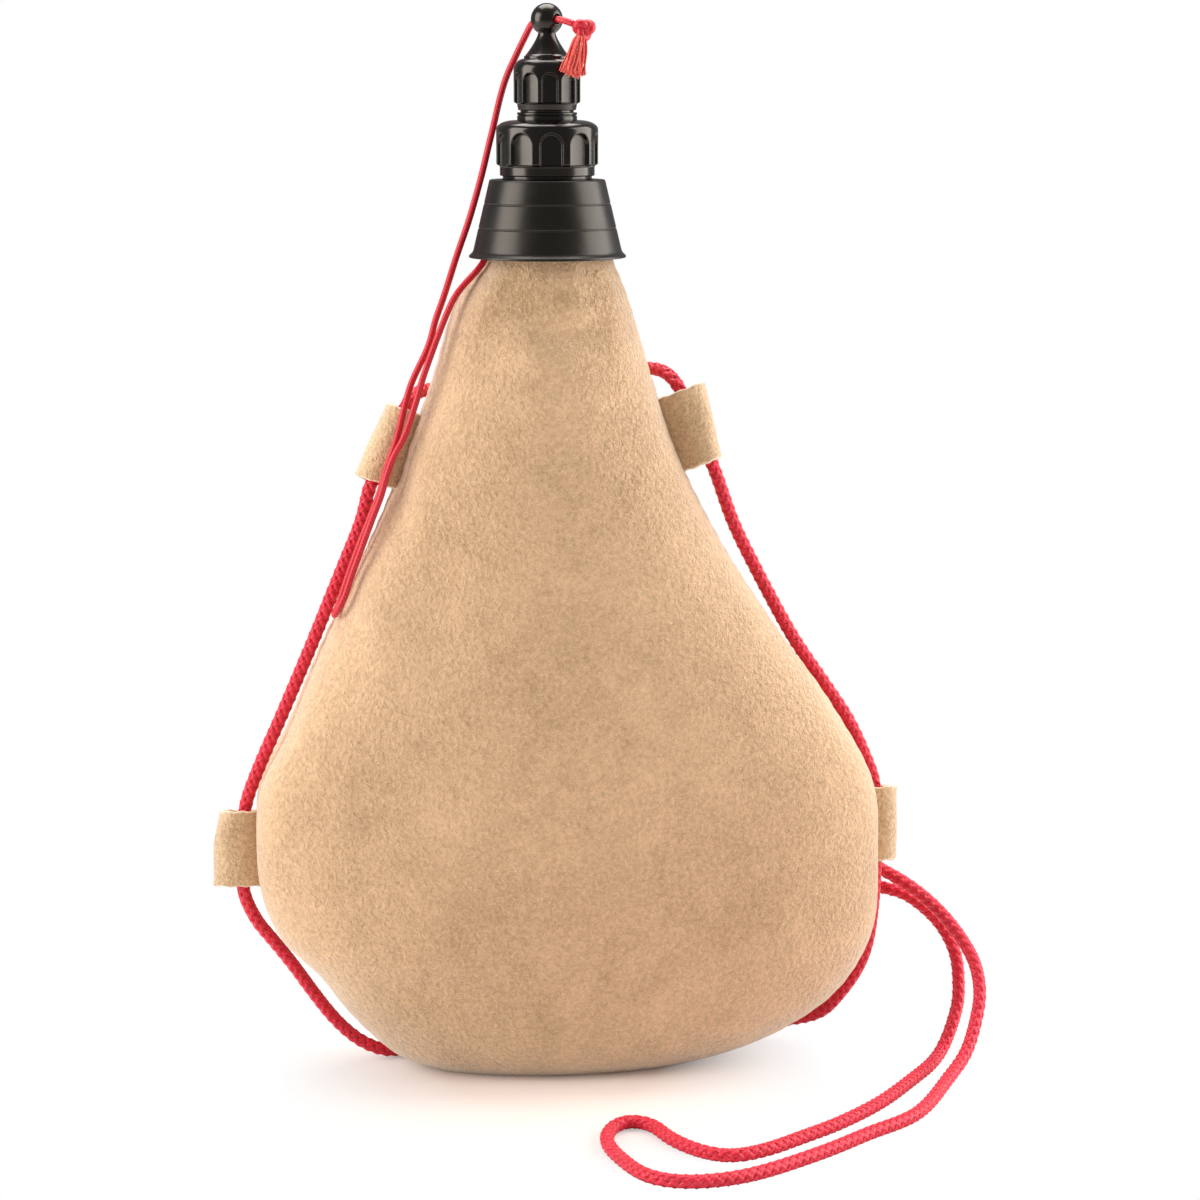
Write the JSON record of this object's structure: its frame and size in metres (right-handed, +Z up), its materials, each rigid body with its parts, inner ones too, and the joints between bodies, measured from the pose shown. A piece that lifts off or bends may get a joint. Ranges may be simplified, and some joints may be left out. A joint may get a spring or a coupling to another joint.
{
  "type": "leather bota bag",
  "caption": "Suede drinking pouch with a latex liner, a fluted screw cap with drinking nozzle, a small stopper cap on a tether, and a braided strap through side loops.",
  "frame": {"origin": "on the spout's axis, at the flat base that the bag stands on", "axes": "+Z up along the spout, +Y from the front panel to the back one, +X to the wider side of the belly"},
  "size_m": [0.2409, 0.1631, 0.3285],
  "materials": {
    "suede": "tan suede with a short nap and paler rubbed edges",
    "latex": "smooth amber latex",
    "twine": "waxed natural twine",
    "neck_plastic": "moulded black plastic",
    "collar_rubber": "satin black rubber",
    "cap_plastic": "glossy black plastic",
    "washer": "pale elastic washer",
    "tether": "twisted dark red cord",
    "tassel": "frayed red yarn",
    "strap": "braided red cord"
  },
  "bodies": {
    "bag": {"front_panel": "suede", "back_panel": "suede", "bladder": "latex", "seam_thread": "twine", "neck_insert": "neck_plastic", "neck_binding": "twine", "collar": "collar_rubber", "upper_left_loop": "suede", "upper_right_loop": "suede", "lower_left_loop": "suede", "lower_right_loop": "suede", "tether_cord": "tether", "strap_left": "strap", "strap_bottom": "strap", "strap_right": "strap", "strap_back_right": "strap", "strap_free_loop": "strap", "strap_back_tail": "strap", "strap_back_left": "strap", "strap_knot": "strap"},
    "filler_carriage": {"filler_seal": "washer"},
    "filler": {"filler_cap": "cap_plastic"},
    "stopper_carriage": {"stopper_seal": "washer"},
    "stopper": {"stopper_cap": "cap_plastic", "tether_top": "tether", "tether_knot": "tether", "tether_tassel": "tassel"}
  },
  "joints": [
    {"name": "filler_lift", "type": "slide", "parent": "bag", "child": "filler_carriage", "axis": [0, 0, 1], "range_m": [0, 0.009]},
    {"name": "filler_turn", "type": "hinge", "parent": "filler_carriage", "child": "filler", "pos_m": [0, 0, 0.286], "axis": [0, 0, 1], "range_deg": [0, 1080]},
    {"name": "stopper_lift", "type": "slide", "parent": "filler", "child": "stopper_carriage", "axis": [0, 0, 1], "range_m": [0, 0.0066]},
    {"name": "stopper_turn", "type": "hinge", "parent": "stopper_carriage", "child": "stopper", "pos_m": [0, 0, 0.305], "axis": [0, 0, 1], "range_deg": [0, 1080]}
  ],
  "couplings": [
    {"joint": "filler_lift", "follows": "filler_turn", "m_per_rad": 0.00047746},
    {"joint": "stopper_lift", "follows": "stopper_turn", "m_per_rad": 0.00035014}
  ]
}
